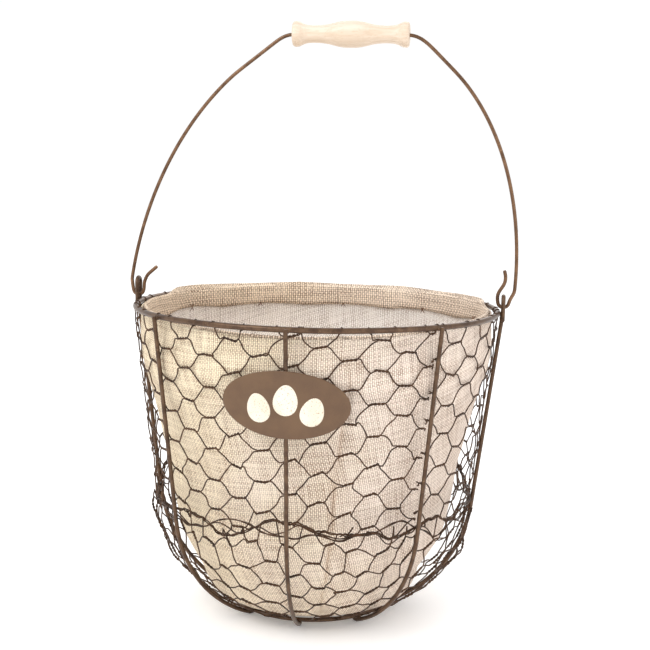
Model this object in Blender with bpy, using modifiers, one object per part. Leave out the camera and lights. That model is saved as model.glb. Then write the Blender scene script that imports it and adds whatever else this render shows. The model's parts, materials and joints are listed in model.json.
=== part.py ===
"""Wire egg collection basket with a swinging bail, a turned wooden grip and a cloth liner.

Metres, +Z up. The origin is the middle of the footprint, on the surface that the basket stands on.
+X runs along the bail's hinge line to the right ear, and the plaque faces -Y.
"""

from math import asin, atan2, cos, hypot, pi, radians, sin, sqrt, tan

import bmesh
import bpy
from mathutils import Matrix, Vector

# wire frame
GAP = 0.0003              # clearance between pieces that touch
RIM_RADIUS = 0.140        # centre line of the rim wire
RIM_WIRE = 0.0042
RIM_HEIGHT = 0.238
RIB_WIRE = 0.0032
RIB_COUNT = 8
RIB_TOP = 0.0006          # how far the ribs rise above the rim's centre
EAR_RIB_TOP = -0.0002     # the two ribs between an ear's legs are cut lower
WALL_LEAN = 0.122         # outward lean of the wall, radians
CORNER_RADIUS = 0.104     # bend between the wall and the bottom
TOE_INNER = 0.0555        # radius at which the ribs' lower ends stop
TOE_LENGTH = 0.0040       # flat run at the end of each rib, which the basket stands on
BASE_WIRE = 0.0032
BASE_RADIUS = 0.0610

# ears and bail
EAR_WIRE = 0.0032
EAR_EYE = 0.0088          # width of the eye between wire centres
EAR_RISE = {"ear_left": 0.0179, "ear_right": 0.0129}  # top of the loop above the rim, wire centres
EAR_TAIL = 0.0065         # how far the ear's legs reach below the rim's centre
EAR_LEG_PLAY = 0.0002     # more room between a leg and the rib than GAP alone
EAR_BENDS = ((0.0, 0.0030), (0.0003, 0.0046))   # (widening, height) up each leg, above the rim's centre
EAR_WIDE = 0.0072         # height at which the loop reaches its full width
BAIL_WIRE = 0.0028
BAIL_PLAY = 0.0008        # air between the pivot run and the top of the rim
BAIL_HALF_WIDTH = RIM_RADIUS + 0.011
BAIL_RISE = 0.2036        # grip axis above the hinge line
BAIL_CURVE_RISE = BAIL_RISE + 0.0074   # height of the full arch that the grip cuts short
BAIL_SWAY = 0.0218        # the hand-bent bail leans this far to the right at the grip
BAIL_LEG = 0.0045         # from the ear's wire to the bail's leg or stub beside it, centre to centre
BAIL_TURN = ((1.0, 0.0052), (0.88, 0.0022), (0.55, 0.0004))   # turn in the eye: (share of BAIL_LEG, height)
LEFT_STUB = ((-0.0152, 0.0228), (-0.0105, 0.0188), (-0.0072, 0.0158), (-0.0056, 0.0125),
             (-BAIL_LEG, 0.0090))               # (outward, height) from the ear's plane, down to the turn
RIGHT_STUB = ((-0.0002, 0.0285), (0.0009, 0.0245), (0.0010, 0.0212), (0.0002, 0.0180),
              (-0.0016, 0.0150), (-0.0036, 0.0120), (-0.0047, 0.0090))
ARCH_START = 0.0120       # the arch begins this far above the hinge line
ARCH_STOP = 0.0140        # and stops this far below the grip's axis
ARCH_ROWS = 20
# (outward, height) from the grip's end, down to the arch
BAIL_SHOULDER = ((0.0140, -0.0074), (0.0078, -0.0024), (0.0028, -0.0003), (-0.0020, 0))

# grip
GRIP_LENGTH = 0.089
GRIP_BORE_PLAY = 0.0006
GRIP_END_PLAY = 0.0010
GRIP_BULGE = 0.01005      # radii of the turned profile
GRIP_NECK = 0.0065
GRIP_END = 0.0096
GRIP_CHAMFER = 0.0006     # at the bore's ends
GRIP_PROFILE = ((0, GRIP_BULGE), (0.15, GRIP_BULGE * 0.972), (0.29, 0.0084), (0.37, 0.0075),
                (0.46, 0.0069), (0.62, GRIP_NECK), (0.74, 0.0069), (0.83, 0.0082), (0.91, GRIP_END),
                (0.965, GRIP_END * 0.985), (0.992, GRIP_END * 0.89), (1, GRIP_END * 0.74))

# netting, kept as plain thin walls here
NET_WALL = 0.0014
NET_SPLIT = 0.0920        # height at which side and bottom netting are laced together
LACING_WIRE = 0.0016

# plaque
PLAQUE_WIDTH = 0.088
PLAQUE_HEIGHT = 0.048
PLAQUE_SHEET = 0.0008
PLAQUE_CENTRE = 0.1873
PLAQUE_BEND = 0.190       # radius of its curve
PLAQUE_TILT = -2.3        # degrees, right end lower

# liner
LINER_CLOTH = 0.0015
LINER_PLAY = 0.0014       # air between the liner's mouth and the rim
LINER_RISE = 0.0015       # top edge above the rim's centre at the ears
LINER_BACK_RISE = 0.0030
LINER_FRONT_DROP = 0.0070
LINER_FLOOR_RADIUS = 0.0615
LINER_STRAIGHT = 0.0260   # depth of the mouth's upright part, below the rim's centre
LINER_SLACK = ((0.22, 0.0006), (0.42, 0.0053), (0.60, 0.0090), (0.80, 0.0111), (1.03, 0.0114),
               (1.21, 0.0108), (1.31, 0.0087), (1.51, 0.0054), (1.72, 0.0005))
HEM_DEPTH = 0.0185

RING_STEPS = 72
TURN_STEPS = 40
LACE_SIDES = 48           # straight runs round the lacing ring
BASE_SIDES = 40           # and round the base ring
SIDES = 8                 # facets of a wire that has a bevel resolution of 2

RIB_NAMES = ("rib_front", "rib_front_right", "rib_right", "rib_back_right",
             "rib_back", "rib_back_left", "rib_left", "rib_front_left")

# sizes that follow from the ones above
OUTSIDE = RIM_RADIUS + RIM_WIRE / 2 + GAP + RIB_WIRE / 2   # ribs and ears lap the rim's outside
FACET_DROP = RIB_WIRE / 2 * cos(pi / SIDES)                # a rib's centre above its lowest facet
HINGE_HEIGHT = RIM_HEIGHT + RIM_WIRE / 2 + BAIL_PLAY + BAIL_WIRE / 2
NET_INSET = RIB_WIRE / 2 + GAP
LINER_INSET = NET_INSET + NET_WALL + GAP
LINER_TOP = RIM_HEIGHT + LINER_RISE


def clear_scene():
    for thing in list(bpy.data.objects):
        bpy.data.objects.remove(thing)


def make_collection(name):
    made = bpy.data.collections.new(name)
    bpy.context.scene.collection.children.link(made)
    return made


def make_material(name, colour, roughness, metallic):
    made = bpy.data.materials.new(name)
    made.use_nodes = True
    shader = made.node_tree.nodes["Principled BSDF"]
    shader.inputs["Base Color"].default_value = (*colour, 1)
    shader.inputs["Roughness"].default_value = roughness
    shader.inputs["Metallic"].default_value = metallic
    return made


def place(obj, look, location=(0, 0, 0), parent=None):
    """Link an object into the basket's collection with its material, parent and place."""
    basket.objects.link(obj)
    obj.data.materials.append(look)
    obj.parent = parent
    obj.location = location
    return obj


def wire(name, path, thickness, look, closed=False, tilt=0.0, **where):
    """A round wire along a list of points."""
    curve = bpy.data.curves.new(name, "CURVE")
    curve.dimensions = "3D"
    spline = curve.splines.new("POLY")
    spline.points.add(len(path) - 1)
    for point, spot in zip(spline.points, path):
        point.co = (*spot, 1)
        point.tilt = tilt
    spline.use_cyclic_u = closed
    spline.use_smooth = True
    curve.bevel_depth = thickness / 2
    curve.bevel_resolution = 2
    curve.use_fill_caps = True
    return place(bpy.data.objects.new(name, curve), look, **where)


def mesh_object(name, shape, look, sharp=40, **where):
    """An object from a bmesh, with round faces shaded smooth."""
    bmesh.ops.recalc_face_normals(shape, faces=shape.faces)
    mesh = bpy.data.meshes.new(name)
    shape.to_mesh(mesh)
    shape.free()
    mesh.shade_smooth()
    mesh.set_sharp_from_angle(angle=radians(sharp))
    return place(bpy.data.objects.new(name, mesh), look, **where)


def turned(outline, steps, axis=(0, 0, 1), closed=True):
    """An outline in the XZ plane spun once round an axis, which an open outline starts and ends on."""
    shape = bmesh.new()
    corners = [shape.verts.new(spot) for spot in outline]
    pairs = zip(corners, corners[1:] + corners[:1]) if closed else zip(corners, corners[1:])
    edges = [shape.edges.new(pair) for pair in pairs]
    bmesh.ops.spin(shape, geom=corners + edges, cent=(0, 0, 0), axis=axis, angle=2 * pi,
                   steps=steps, use_merge=True)
    bmesh.ops.remove_doubles(shape, verts=shape.verts, dist=1e-6)
    return shape


def ring(radius, height, steps=RING_STEPS):
    return [(radius * sin(2 * pi * i / steps), -radius * cos(2 * pi * i / steps), height)
            for i in range(steps)]


def bend_centre():
    """Centre (radius, height) of the ribs' lower bend, tangent to the wall and reaching the toe."""
    inward = (-cos(WALL_LEAN), sin(WALL_LEAN))
    along = (sin(WALL_LEAN), cos(WALL_LEAN))
    toe = (TOE_INNER + TOE_LENGTH, FACET_DROP)
    deep = (toe[0] - OUTSIDE) * inward[0] + (toe[1] - RIM_HEIGHT) * inward[1]
    back = sqrt(deep * (2 * CORNER_RADIUS - deep))
    return tuple(toe[i] + (CORNER_RADIUS - deep) * inward[i] + back * along[i] for i in (0, 1))


def cage_radius(height, inset=0.0):
    """Radius at a height of the ribs' centre line, or of a surface set in from it."""
    centre_r, centre_z = bend_centre()
    radius = CORNER_RADIUS - inset
    if height > centre_z - radius * sin(WALL_LEAN):
        return OUTSIDE - tan(WALL_LEAN) * (RIM_HEIGHT - height) - inset / cos(WALL_LEAN)
    return centre_r + sqrt(radius ** 2 - (centre_z - height) ** 2)


def cage_stretch(low, high, inset, bends):
    """(radius, height) up the cage's profile between two heights, set in from the ribs' centre line."""
    centre_r, centre_z = bend_centre()
    radius = CORNER_RADIUS - inset
    bend_top = min(high, centre_z - radius * sin(WALL_LEAN))
    path = [(cage_radius(low, inset), low)]
    if low < bend_top:
        first, last = asin((low - centre_z) / radius), asin((bend_top - centre_z) / radius)
        angles = [first + (last - first) * i / bends for i in range(1, bends + 1)]
        path += [(centre_r + radius * cos(a), centre_z + radius * sin(a)) for a in angles]
    if high > bend_top:
        path.append((cage_radius(high, inset), high))
    return path


def cage_point(station, inset):
    """(radius, height) set in from the cage: stations 0 to 1 round the bend, 1 to 2 up the wall."""
    centre_r, centre_z = bend_centre()
    radius = CORNER_RADIUS - inset
    toe = atan2(FACET_DROP - centre_z, TOE_INNER + TOE_LENGTH - centre_r)
    angle = toe + (-WALL_LEAN - toe) * min(station, 1)
    up = max(station - 1, 0) * (RIM_HEIGHT - centre_z + CORNER_RADIUS * sin(WALL_LEAN))
    return centre_r + radius * cos(angle) + up * tan(WALL_LEAN), centre_z + radius * sin(angle) + up


def base_height():
    """Height of the base ring's centre line, which lies on the ribs from inside."""
    centre_r, centre_z = bend_centre()
    radius = CORNER_RADIUS - RIB_WIRE / 2 - GAP - BASE_WIRE / 2
    return centre_z - sqrt(radius ** 2 - (BASE_RADIUS - centre_r) ** 2)


def make_ribs(look):
    ear_ribs = ("rib_left", "rib_right")
    for i, name in enumerate(RIB_NAMES):
        angle = 2 * pi * i / RIB_COUNT
        top = RIM_HEIGHT + (EAR_RIB_TOP if name in ear_ribs else RIB_TOP)
        profile = [(TOE_INNER, FACET_DROP)] + cage_stretch(FACET_DROP, top, 0, 12)
        path = [(r * sin(angle), -r * cos(angle), z) for r, z in profile]
        wire(name, path, RIB_WIRE, look, tilt=pi / SIDES)


def make_ear(name, side, look):
    """A loop of wire standing on the rim, its two legs straddling the rib's top."""
    leg = RIB_WIRE / 2 + GAP + EAR_WIRE / 2 + EAR_LEG_PLAY
    shoulder = EAR_RISE[name] - EAR_EYE / 2
    half = [(leg, -EAR_TAIL)] + [(leg + widening, height) for widening, height in EAR_BENDS]
    half += [(EAR_EYE / 2, height) for height in (EAR_WIDE, shoulder)]
    bends = 9
    arch = [(EAR_EYE / 2 * cos(pi * i / bends), shoulder + EAR_EYE / 2 * sin(pi * i / bends))
            for i in range(1, bends)]
    loop = half + arch + [(-y, z) for y, z in reversed(half)]
    path = [(side * OUTSIDE, y, RIM_HEIGHT + z) for y, z in loop]
    wire(name, path, EAR_WIRE, look)


def bail_path():
    """The bail from the left stub, through the left ear, over the grip and into the right ear."""
    turn = [(-BAIL_LEG * share, z) for share, z in BAIL_TURN] + [(0, 0)]
    turn += [(BAIL_LEG * share, z) for share, z in reversed(BAIL_TURN)]
    left = [(-OUTSIDE - x, 0, z) for x, z in [*LEFT_STUB, *turn]]
    right = [(OUTSIDE + x, 0, z) for x, z in [*RIGHT_STUB, *turn]]

    def arch(side):
        """From above the ear to the middle of the grip: a sheared quarter ellipse, then a shoulder."""
        path = []
        for i in range(ARCH_ROWS):
            share = sin(pi / 2 * i / (ARCH_ROWS - 1))
            up = ARCH_START + (BAIL_RISE - ARCH_STOP - ARCH_START) * share
            wide = BAIL_HALF_WIDTH * sqrt(1 - (up / BAIL_CURVE_RISE) ** 2)
            path.append((side * wide + BAIL_SWAY * up / BAIL_RISE, 0, up))
        end = GRIP_LENGTH / 2 + GRIP_END_PLAY
        return path + [(BAIL_SWAY + side * (end + x), 0, BAIL_RISE + z) for x, z in BAIL_SHOULDER]

    return left + arch(-1) + arch(1)[::-1] + right[::-1]


def make_grip(look, parent):
    half = GRIP_LENGTH / 2
    bore = BAIL_WIRE / 2 + GRIP_BORE_PLAY
    right = [(half * share, 0, radius) for share, radius in GRIP_PROFILE]
    right += [(half, 0, bore + GRIP_CHAMFER), (half - GRIP_CHAMFER, 0, bore)]
    outline = right + [(-x, y, z) for x, y, z in reversed(right[1:])]
    shape = turned(outline, 20, axis=(1, 0, 0))
    mesh_object("grip", shape, look, location=(BAIL_SWAY, 0, BAIL_RISE), parent=parent)


def thin_wall(low, high, bends):
    """Closed outline of the netting's thin wall between two heights."""
    outer = cage_stretch(low, high, NET_INSET, bends)
    inner = cage_stretch(low, high, NET_INSET + NET_WALL, bends)
    return [(r, 0, z) for r, z in outer + inner[::-1]]


def make_netting(look):
    floor = base_height() + BASE_WIRE / 2 + 2 * GAP
    lace_room = LACING_WIRE / 2 + GAP
    top = RIM_HEIGHT - RIM_WIRE / 2 - 2 * GAP
    sleeve = turned(thin_wall(NET_SPLIT + lace_room, top, 6), TURN_STEPS)
    mesh_object("side_netting", sleeve, look)
    outer = cage_stretch(floor, NET_SPLIT - lace_room, NET_INSET, 7)
    inner = cage_stretch(floor + NET_WALL, NET_SPLIT - lace_room, NET_INSET + NET_WALL, 7)
    half = [(0, floor)] + outer + inner[::-1] + [(0, floor + NET_WALL)]
    dish = turned([(r, 0, z) for r, z in half], TURN_STEPS, closed=False)
    mesh_object("bottom_netting", dish, look)
    lace = ring(cage_radius(NET_SPLIT, NET_INSET + NET_WALL / 2), NET_SPLIT, LACE_SIDES)
    wire("netting_lacing", lace, LACING_WIRE, look, closed=True)
    return floor + NET_WALL


def make_plaque(look):
    """An oval of sheet metal, gently curved, on the outside of the front rib."""
    shape = bmesh.new()
    rings, steps = 4, 36
    bmesh.ops.create_circle(shape, cap_ends=True, cap_tris=True, radius=1.0, segments=steps)
    spokes = [e for e in shape.edges if any(v.co.length < 0.5 for v in e.verts)]
    bmesh.ops.subdivide_edges(shape, edges=spokes, cuts=rings - 1)
    for vert in shape.verts:
        across = vert.co.x * PLAQUE_WIDTH / 2
        sag = PLAQUE_BEND - sqrt(PLAQUE_BEND ** 2 - across ** 2)
        vert.co = (across, sag, vert.co.y * PLAQUE_HEIGHT / 2)
    bmesh.ops.rotate(shape, verts=shape.verts, cent=(0, 0, 0),
                     matrix=Matrix.Rotation(radians(-PLAQUE_TILT), 3, "Y"))
    lean = Matrix.Rotation(WALL_LEAN, 3, "X")
    bmesh.ops.rotate(shape, verts=shape.verts, cent=(0, 0, 0), matrix=lean)
    stand = RIB_WIRE / 2 + GAP + PLAQUE_SHEET
    front = Vector((0, -cage_radius(PLAQUE_CENTRE), PLAQUE_CENTRE))
    front += lean @ Vector((0, -stand, 0))
    bmesh.ops.translate(shape, verts=shape.verts, vec=front)
    obj = mesh_object("plaque", shape, look)
    thick = obj.modifiers.new("sheet", "SOLIDIFY")
    thick.thickness = PLAQUE_SHEET
    thick.offset = -1 if obj.data.polygons[0].normal.y < 0 else 1


def tip_edge(shape, low):
    """Raise a mouth at the back and let it drop at the front, less and less down to a height."""
    for vert in shape.verts:
        share = min(max((vert.co.z - low) / (LINER_TOP - low), 0), 1)
        facing = vert.co.y / hypot(vert.co.x, vert.co.y)
        change = LINER_BACK_RISE if facing > 0 else -LINER_FRONT_DROP
        vert.co.z += share * change * facing ** 2


def liner_surface(floor, depth):
    """(radius, height) up one face of the liner, which hangs slack inside the cage."""
    mouth = RIM_RADIUS - RIM_WIRE / 2 - LINER_PLAY - depth
    rows = [(LINER_FLOOR_RADIUS, floor + depth)]
    rows += [cage_point(station, LINER_INSET + slack + depth) for station, slack in LINER_SLACK]
    return rows + [(mouth, RIM_HEIGHT - LINER_STRAIGHT), (mouth, LINER_TOP)]


def make_liner(floor, cloth, hem_cloth):
    outer = liner_surface(floor, 0)
    inner = liner_surface(floor, LINER_CLOTH)
    wall = turned([(r, 0, z) for r, z in outer + inner[::-1]], TURN_STEPS)
    tip_edge(wall, cage_point(LINER_SLACK[-1][0], 0)[1])
    mesh_object("liner_wall", wall, cloth)

    disc = bmesh.new()
    edge = LINER_FLOOR_RADIUS - GAP
    bmesh.ops.create_cone(disc, cap_ends=True, segments=TURN_STEPS, radius1=edge, radius2=edge,
                          depth=LINER_CLOTH,
                          matrix=Matrix.Translation((0, 0, floor + LINER_CLOTH / 2)))
    mesh_object("liner_base", disc, cloth)

    band = inner[-1][0] - GAP
    low = LINER_TOP - HEM_DEPTH
    hem = turned([(band, 0, low), (band, 0, LINER_TOP), (band - LINER_CLOTH, 0, LINER_TOP),
                  (band - LINER_CLOTH, 0, low)], TURN_STEPS)
    tip_edge(hem, low - HEM_DEPTH)
    mesh_object("liner_hem", hem, hem_cloth)


def make_bail(wire_look, wood_look):
    hinge = bpy.data.objects.new("bail_hinge", None)
    basket.objects.link(hinge)
    hinge.location = (0, 0, HINGE_HEIGHT)
    wire("bail", bail_path(), BAIL_WIRE, wire_look, parent=hinge)
    make_grip(wood_look, hinge)


clear_scene()
basket = make_collection("egg_basket")
frame_look = make_material("bronze_wire", (0.155, 0.095, 0.060), 0.42, 0.75)
net_look = make_material("netting_wire", (0.075, 0.046, 0.030), 0.50, 0.70)
bail_look = make_material("bail_wire", (0.260, 0.150, 0.100), 0.38, 0.80)
wood_look = make_material("pale_wood", (0.840, 0.690, 0.500), 0.55, 0.0)
plaque_look = make_material("brown_plaque", (0.240, 0.150, 0.090), 0.45, 0.40)
cloth_look = make_material("burlap", (0.720, 0.580, 0.420), 0.95, 0.0)
hem_look = make_material("burlap_hem", (0.600, 0.460, 0.320), 0.95, 0.0)

wire("rim_ring", ring(RIM_RADIUS, RIM_HEIGHT), RIM_WIRE, frame_look, closed=True)
wire("base_ring", ring(BASE_RADIUS, base_height(), BASE_SIDES), BASE_WIRE, frame_look, closed=True)
make_ribs(frame_look)
make_ear("ear_left", -1, frame_look)
make_ear("ear_right", 1, frame_look)
make_bail(bail_look, wood_look)
net_top = make_netting(net_look)
make_plaque(plaque_look)
make_liner(net_top + GAP, cloth_look, hem_look)
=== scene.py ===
import json
from math import asin, atan2, cos, degrees, hypot, pi, radians, sin, sqrt, tan
import bmesh
import bpy
from mathutils import Matrix, Vector, noise


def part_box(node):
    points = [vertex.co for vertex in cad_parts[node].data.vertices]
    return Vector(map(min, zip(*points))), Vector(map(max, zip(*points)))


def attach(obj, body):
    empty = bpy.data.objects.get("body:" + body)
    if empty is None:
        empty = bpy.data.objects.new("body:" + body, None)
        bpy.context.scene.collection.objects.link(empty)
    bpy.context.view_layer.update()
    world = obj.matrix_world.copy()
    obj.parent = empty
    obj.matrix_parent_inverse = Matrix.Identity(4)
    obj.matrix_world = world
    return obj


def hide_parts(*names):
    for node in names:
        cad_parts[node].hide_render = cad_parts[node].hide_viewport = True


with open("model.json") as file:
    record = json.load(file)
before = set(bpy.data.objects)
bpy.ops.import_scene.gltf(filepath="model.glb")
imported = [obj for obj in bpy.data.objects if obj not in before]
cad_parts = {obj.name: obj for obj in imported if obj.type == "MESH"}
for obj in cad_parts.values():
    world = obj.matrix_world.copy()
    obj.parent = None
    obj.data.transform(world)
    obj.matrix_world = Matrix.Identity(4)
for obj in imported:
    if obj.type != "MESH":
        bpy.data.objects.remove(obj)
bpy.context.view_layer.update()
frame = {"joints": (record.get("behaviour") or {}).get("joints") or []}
joints = {joint["name"]: Vector(joint["pos_m"]) for joint in frame["joints"]}

# ---- sizes that every piece shares, read from the frame ----
gap = 0.0003                                        # air between pieces that touch
rimLow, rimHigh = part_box("rim_ring")
rimWire = rimHigh.z - rimLow.z
rimRadius = rimHigh.x - rimWire / 2
rimHeight = (rimHigh.z + rimLow.z) / 2
ribWire = 0.0032
outside = rimRadius + rimWire / 2 + gap + ribWire / 2   # centre line of the ribs' tops and the ears
cage = {"lean": 0.122, "bend": 0.104, "toeRun": 0.004, "toeDrop": 0.00148}
toeInner = -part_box("rib_front")[1].y
netInset = ribWire / 2 + gap + 0.0007               # middle of the netting, in from the ribs' centres


# ---- small tools ----
def bendCentre():                                   # middle of the ribs' lower bend, (radius, height)
    inward = (-cos(cage["lean"]), sin(cage["lean"]))
    along = (sin(cage["lean"]), cos(cage["lean"]))
    toe = (toeInner + cage["toeRun"], cage["toeDrop"])
    deep = (toe[0] - outside) * inward[0] + (toe[1] - rimHeight) * inward[1]
    back = sqrt(deep * (2 * cage["bend"] - deep))
    return [toe[i] + (cage["bend"] - deep) * inward[i] + back * along[i] for i in (0, 1)]


bendR, bendZ = bendCentre()


def cageRadius(height, inset=0.0):                  # radius of the cage, or of a surface inside it
    radius = cage["bend"] - inset
    if height > bendZ - radius * sin(cage["lean"]):
        return outside - tan(cage["lean"]) * (rimHeight - height) - inset / cos(cage["lean"])
    return bendR + sqrt(max(radius ** 2 - (bendZ - height) ** 2, 0))


def around(angle, radius, height):                  # angle in degrees from the front, towards the right ear
    return Vector((radius * sin(radians(angle)), -radius * cos(radians(angle)), height))


def wander(seed, *spot):                            # smooth noise from -1 to 1 or so
    return noise.noise(Vector((spot + (0.0, 0.0))[:3]) + Vector((seed * 7.31, seed * 3.17, seed * 5.73)))


def smooth(points, steps):                          # a smooth line through its points
    line = []
    for i in range(len(points) - 1):
        before, start = points[max(i - 1, 0)], points[i]
        end, after = points[i + 1], points[min(i + 2, len(points) - 1)]
        for k in range(steps):
            t = k / steps
            line.append(0.5 * ((2 * start) + (end - before) * t
                               + (2 * before - 5 * start + 4 * end - after) * t ** 2
                               + (3 * start - before - 3 * end + after) * t ** 3))
    return line + [points[-1]]


def even(points, step, passes, more, above):        # an evenly spaced line, rounded, and more so above
    lengths = [0.0]
    for first, second in zip(points, points[1:]):
        lengths.append(lengths[-1] + (second - first).length)
    count, line, i = int(lengths[-1] / step), [], 0
    for k in range(count + 1):
        far = lengths[-1] * k / count
        while i < len(points) - 2 and lengths[i + 1] < far:
            i += 1
        share = (far - lengths[i]) / (lengths[i + 1] - lengths[i])
        line.append(points[i].lerp(points[i + 1], share))
    for k in range(passes + more):
        inner = [b if k >= passes and b.z < above else (a + b * 2 + c) / 4
                 for a, b, c in zip(line, line[1:], line[2:])]
        line = [line[0]] + inner + [line[-1]]
    return line


def addPiece(name, shape, look, body, slot, *replaced, sharp=50):    # sharp is an angle in degrees
    mesh = bpy.data.meshes.new(name)
    shape.to_mesh(mesh)
    shape.free()
    mesh.shade_smooth()
    mesh.set_sharp_from_angle(angle=radians(sharp))
    piece = bpy.data.objects.new(name, mesh)
    bpy.context.scene.collection.objects.link(piece)
    mesh.materials.append(look)
    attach(piece, body)
    if replaced:
        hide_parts(*replaced)
    return piece


def skin(shape, loops):                             # faces between closed loops, one after the other
    edges = [[shape.edges.new(pair) for pair in zip(loop, loop[1:] + loop[:1])] for loop in loops]
    for first, second in zip(edges, edges[1:]):
        bmesh.ops.bridge_loops(shape, edges=first + second)
    return edges


def addWires(name, lines, thickness, look, body, slot, *replaced, closed=False, roundness=2):
    curve = bpy.data.curves.new(name + "Line", "CURVE")
    curve.dimensions = "3D"
    curve.bevel_depth = thickness / 2
    curve.bevel_resolution = roundness
    curve.use_fill_caps = True
    for line in lines:
        spline = curve.splines.new("POLY")
        spline.points.add(len(line) - 1)
        for point, spot in zip(spline.points, line):
            point.co = (*spot, 1)
        spline.use_cyclic_u = closed
        spline.use_smooth = True
        if not closed:                              # slightly drawn tips
            spline.points[0].radius = spline.points[-1].radius = 0.72
    drawn = bpy.data.objects.new(name + "Line", curve)
    bpy.context.scene.collection.objects.link(drawn)
    bpy.context.view_layer.update()
    mesh = bpy.data.meshes.new_from_object(drawn.evaluated_get(bpy.context.evaluated_depsgraph_get()))
    bpy.data.objects.remove(drawn)
    shape = bmesh.new()
    shape.from_mesh(mesh)
    bmesh.ops.remove_doubles(shape, verts=shape.verts, dist=1e-6)
    bpy.data.meshes.remove(mesh)
    return addPiece(name, shape, look, body, slot, *replaced)


# ---- shader maths ----
class Sum:                                          # a socket that adds, multiplies and so on
    def __init__(self, tree, socket):
        self.tree, self.socket = tree, socket

    def node(self, kind, settings, values, out=0):  # any node: its settings first, then its sockets
        made = self.tree.nodes.new(kind)
        for key, value in settings.items():
            setattr(made, key, value)
        for key, value in values.items():
            if isinstance(value, Sum):
                self.tree.links.new(value.socket, made.inputs[key])
            else:
                made.inputs[key].default_value = value
        return Sum(self.tree, made.outputs[out])

    def maths(self, operation, *others):
        return self.node("ShaderNodeMath", {"operation": operation}, dict(enumerate((self,) + others)))

    def __add__(self, other): return self.maths("ADD", other)
    __radd__ = __add__
    def __sub__(self, other): return self.maths("SUBTRACT", other)
    def __rsub__(self, other): return self.maths("MULTIPLY", -1.0).maths("ADD", other)
    def __mul__(self, other): return self.maths("MULTIPLY", other)
    __rmul__ = __mul__
    def __truediv__(self, other): return self.maths("DIVIDE", other)

    def step(self, low, high):                      # 0 below low, 1 above high
        return self.node("ShaderNodeMapRange", {"interpolation_type": "SMOOTHSTEP"},
                         {0: self, 1: low, 2: high, 3: 0.0, 4: 1.0})

    def speckle(self, scale, detail=3.0, roughness=0.55, stretch=(1, 1, 1)):
        spread = self.node("ShaderNodeMapping", {}, {0: self, 3: stretch})
        return self.node("ShaderNodeTexNoise", {},
                         {"Vector": spread, "Scale": scale, "Detail": detail, "Roughness": roughness})

    def blend(self, first, second):                 # this mask mixes two colours
        return self.node("ShaderNodeMix", {"data_type": "RGBA"}, {0: self, 6: first, 7: second}, 2)


def newLook(name, **fixed):
    look = bpy.data.materials.new(name)
    look.use_nodes = True
    shader = look.node_tree.nodes["Principled BSDF"]
    for key, value in fixed.items():
        shader.inputs[key.replace("_", " ")].default_value = value
    coords = look.node_tree.nodes.new("ShaderNodeTexCoord")
    return look, shader, coords


def feed(shader, key, value):
    value.tree.links.new(value.socket, shader.inputs[key])


def bumpy(height, distance, strength=1.0):
    return height.node("ShaderNodeBump", {}, {"Height": height, "Distance": distance, "Strength": strength})


def rgb(red, green, blue):                          # from screen values to light
    return tuple((c / 255 / 12.92 if c / 255 < 0.04045 else ((c / 255 + 0.055) / 1.055) ** 2.4)
                 for c in (red, green, blue)) + (1,)


# ---- looks ----
metalTones = {
    "bronze": {"dark": rgb(70, 50, 36), "light": rgb(102, 78, 58), "worn": rgb(136, 108, 80), "gloss": 0.34},
    "netting": {"dark": rgb(50, 32, 20), "light": rgb(86, 60, 40), "worn": rgb(124, 96, 70), "gloss": 0.42},
    "bail": {"dark": rgb(92, 66, 46), "light": rgb(126, 94, 68), "worn": rgb(168, 132, 102), "gloss": 0.32},
}


def metalLook(name, tones):
    look, shader, coords = newLook(name, Metallic=0.55, Specular_IOR_Level=0.5)
    spot = Sum(look.node_tree, coords.outputs["Object"])
    cloudy = spot.speckle(130.0, 4.0)
    fine = spot.speckle(900.0, 2.0)
    patina = (cloudy * 0.7 + fine * 0.3).step(0.36, 0.66)
    rubbed = spot.speckle(300.0, 5.0, 0.7).step(0.60, 0.74)
    colour = rubbed.blend(patina.blend(tones["dark"], tones["light"]), tones["worn"])
    feed(shader, "Base Color", colour)
    feed(shader, "Roughness", cloudy * 0.30 + (tones["gloss"] - 0.15))
    feed(shader, "Normal", bumpy(fine * 0.6 + cloudy * 0.4, 0.00025, 0.5))
    return look


# the shade colours are painted shade in the weave's hollows, darkest on the hem's doubled cloth
clothTones = {
    # the second thread colour is painted light, for the side of the cloth towards the key lamp
    "wall": {"pitch": 0.00150, "thread": rgb(255, 240, 226), "warm": rgb(255, 240, 210),
             "shade": rgb(146, 112, 86), "hole": 0.30, "weave": 0.5},
    # the inner side: a lighter copy of the burlap, painted light for light coming through the cloth
    "inside": {"pitch": 0.00165, "thread": rgb(255, 250, 244), "warm": rgb(255, 246, 236),
               "shade": rgb(176, 156, 142), "hole": 0.42, "weave": 0.4},
    "hem": {"pitch": 0.00195, "thread": rgb(255, 236, 216), "warm": rgb(250, 228, 202),
            "shade": rgb(112, 84, 64), "hole": 0.30, "weave": 0.5},
}


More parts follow.
